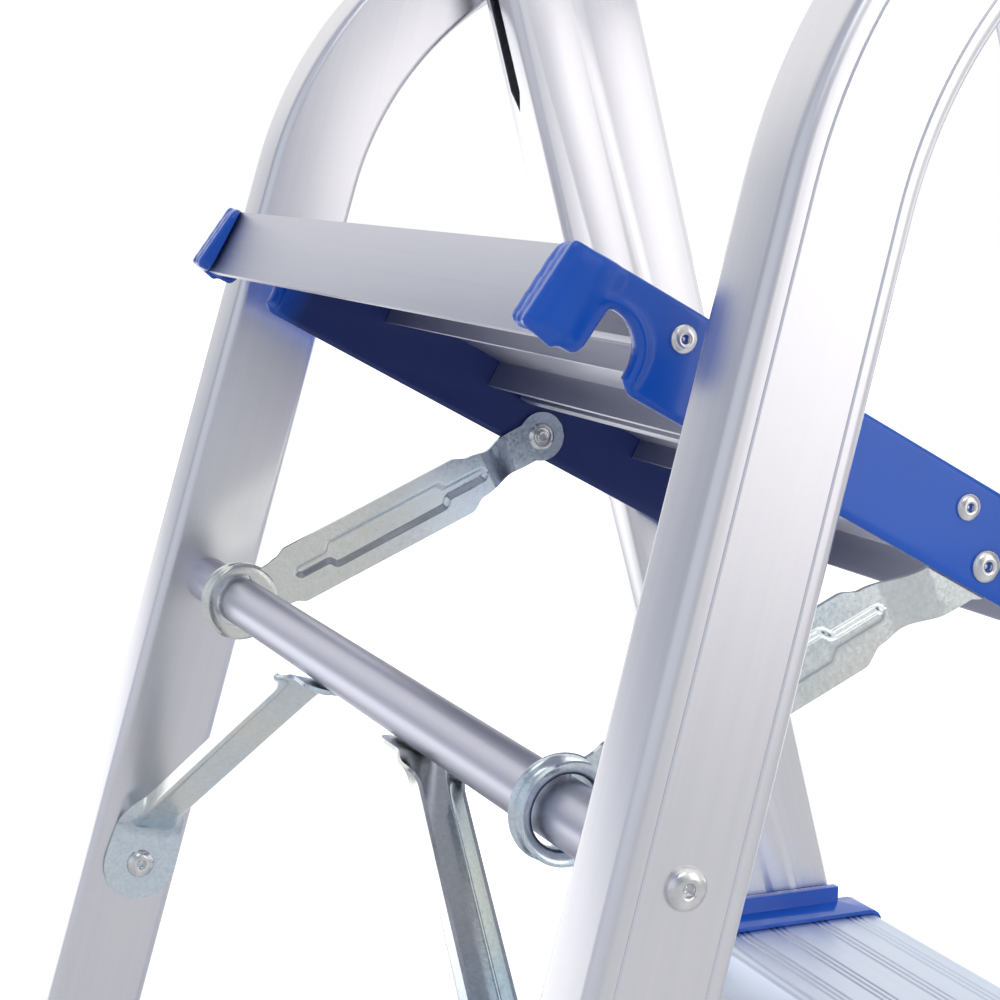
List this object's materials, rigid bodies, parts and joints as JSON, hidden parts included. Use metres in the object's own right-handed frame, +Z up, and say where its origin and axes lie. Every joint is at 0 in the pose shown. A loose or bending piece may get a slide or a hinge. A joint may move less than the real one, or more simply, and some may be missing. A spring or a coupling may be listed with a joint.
{
  "type": "folding step stool",
  "caption": "Folding aluminium step stool: tapered front frame with ribbed treads, rear frame bent over at the top, and a platform that hooks onto a cross tube.",
  "frame": {"origin": "centre of the footprint on the floor", "axes": "+Z up, -Y towards the climbing side, +X towards the left-hand rails seen from the climbing side's back"},
  "size_m": [0.5596, 0.7116, 1.0597],
  "materials": {
    "rail_aluminium": "satin extruded",
    "tread_aluminium": "satin ribbed",
    "platform_aluminium": "matte extruded",
    "zinc_steel": "bright zinc plate",
    "rivet_steel": "polished",
    "blue_plastic": "gloss",
    "foot_rubber": "matte"
  },
  "bodies": {
    "front_frame": {"front_rail_left": "rail_aluminium", "front_foot_left": "foot_rubber", "front_rail_cap_left": "blue_plastic", "hinge_pin_left": "rivet_steel", "hinge_washer_left": "blue_plastic", "platform_pin_left": "rivet_steel", "platform_spacer_left": "blue_plastic", "front_rail_right": "rail_aluminium", "front_foot_right": "foot_rubber", "front_rail_cap_right": "blue_plastic", "hinge_pin_right": "rivet_steel", "hinge_washer_right": "blue_plastic", "platform_pin_right": "rivet_steel", "platform_spacer_right": "blue_plastic", "tread_rivet_upper_left": "rivet_steel", "tread_rivet_upper_right": "rivet_steel", "tread_upper": "tread_aluminium", "tread_cap_upper_left": "blue_plastic", "tread_cap_upper_right": "blue_plastic", "tread_rivet_lower_left": "rivet_steel", "tread_rivet_lower_right": "rivet_steel", "tread_lower": "tread_aluminium", "tread_cap_lower_left": "blue_plastic", "tread_cap_lower_right": "blue_plastic"},
    "rear_frame": {"rear_rail_left": "rail_aluminium", "tube_rivet_left": "rivet_steel", "grab_rivet_left": "rivet_steel", "lower_bar_rivet_left": "rivet_steel", "rear_foot_left": "foot_rubber", "grab_end_cap_left": "blue_plastic", "rear_rail_right": "rail_aluminium", "tube_rivet_right": "rivet_steel", "grab_rivet_right": "rivet_steel", "lower_bar_rivet_right": "rivet_steel", "rear_foot_right": "foot_rubber", "grab_end_cap_right": "blue_plastic", "cross_tube": "rail_aluminium", "grab_tube": "rail_aluminium", "lower_cross_bar": "rail_aluminium", "brace_left": "zinc_steel", "brace_rivet_left": "rivet_steel", "brace_tab_rivet_left": "rivet_steel", "brace_right": "zinc_steel", "brace_rivet_right": "rivet_steel", "brace_tab_rivet_right": "rivet_steel"},
    "platform": {"plank_rear": "platform_aluminium", "plank_front": "platform_aluminium", "bracket_left": "blue_plastic", "bracket_rivet_rear_left": "rivet_steel", "bracket_rivet_front_left": "rivet_steel", "link_rivet_left": "rivet_steel", "bracket_right": "blue_plastic", "bracket_rivet_rear_right": "rivet_steel", "bracket_rivet_front_right": "rivet_steel", "link_rivet_right": "rivet_steel"},
    "left_link": {"link_left": "zinc_steel", "link_eyelet_left": "rivet_steel"},
    "right_link": {"link_right": "zinc_steel", "link_eyelet_right": "rivet_steel"}
  },
  "joints": [
    {"name": "rear_frame_hinge", "type": "hinge", "parent": "front_frame", "child": "rear_frame", "pos_m": [0, -0.05124, 1.01841], "axis": [-1, 0, 0], "range_deg": [-4, 30.8]},
    {"name": "platform_hinge", "type": "hinge", "parent": "front_frame", "child": "platform", "pos_m": [0, -0.13528, 0.70763], "axis": [-1, 0, 0], "range_deg": [-46, 6.1]},
    {"name": "left_link_hinge", "type": "hinge", "parent": "rear_frame", "child": "left_link", "pos_m": [0, 0.12478, 0.701], "axis": [-1, 0, 0], "range_deg": [-2.8, 20.6]},
    {"name": "right_link_hinge", "type": "hinge", "parent": "rear_frame", "child": "right_link", "pos_m": [0, 0.12478, 0.701], "axis": [-1, 0, 0], "range_deg": [-2.8, 20.6]}
  ],
  "couplings": [
    {"joint": "platform_hinge", "follows": "rear_frame_hinge", "ratio": -1.49},
    {"joint": "left_link_hinge", "follows": "rear_frame_hinge", "ratio": 0.665},
    {"joint": "right_link_hinge", "follows": "rear_frame_hinge", "ratio": 0.665}
  ]
}
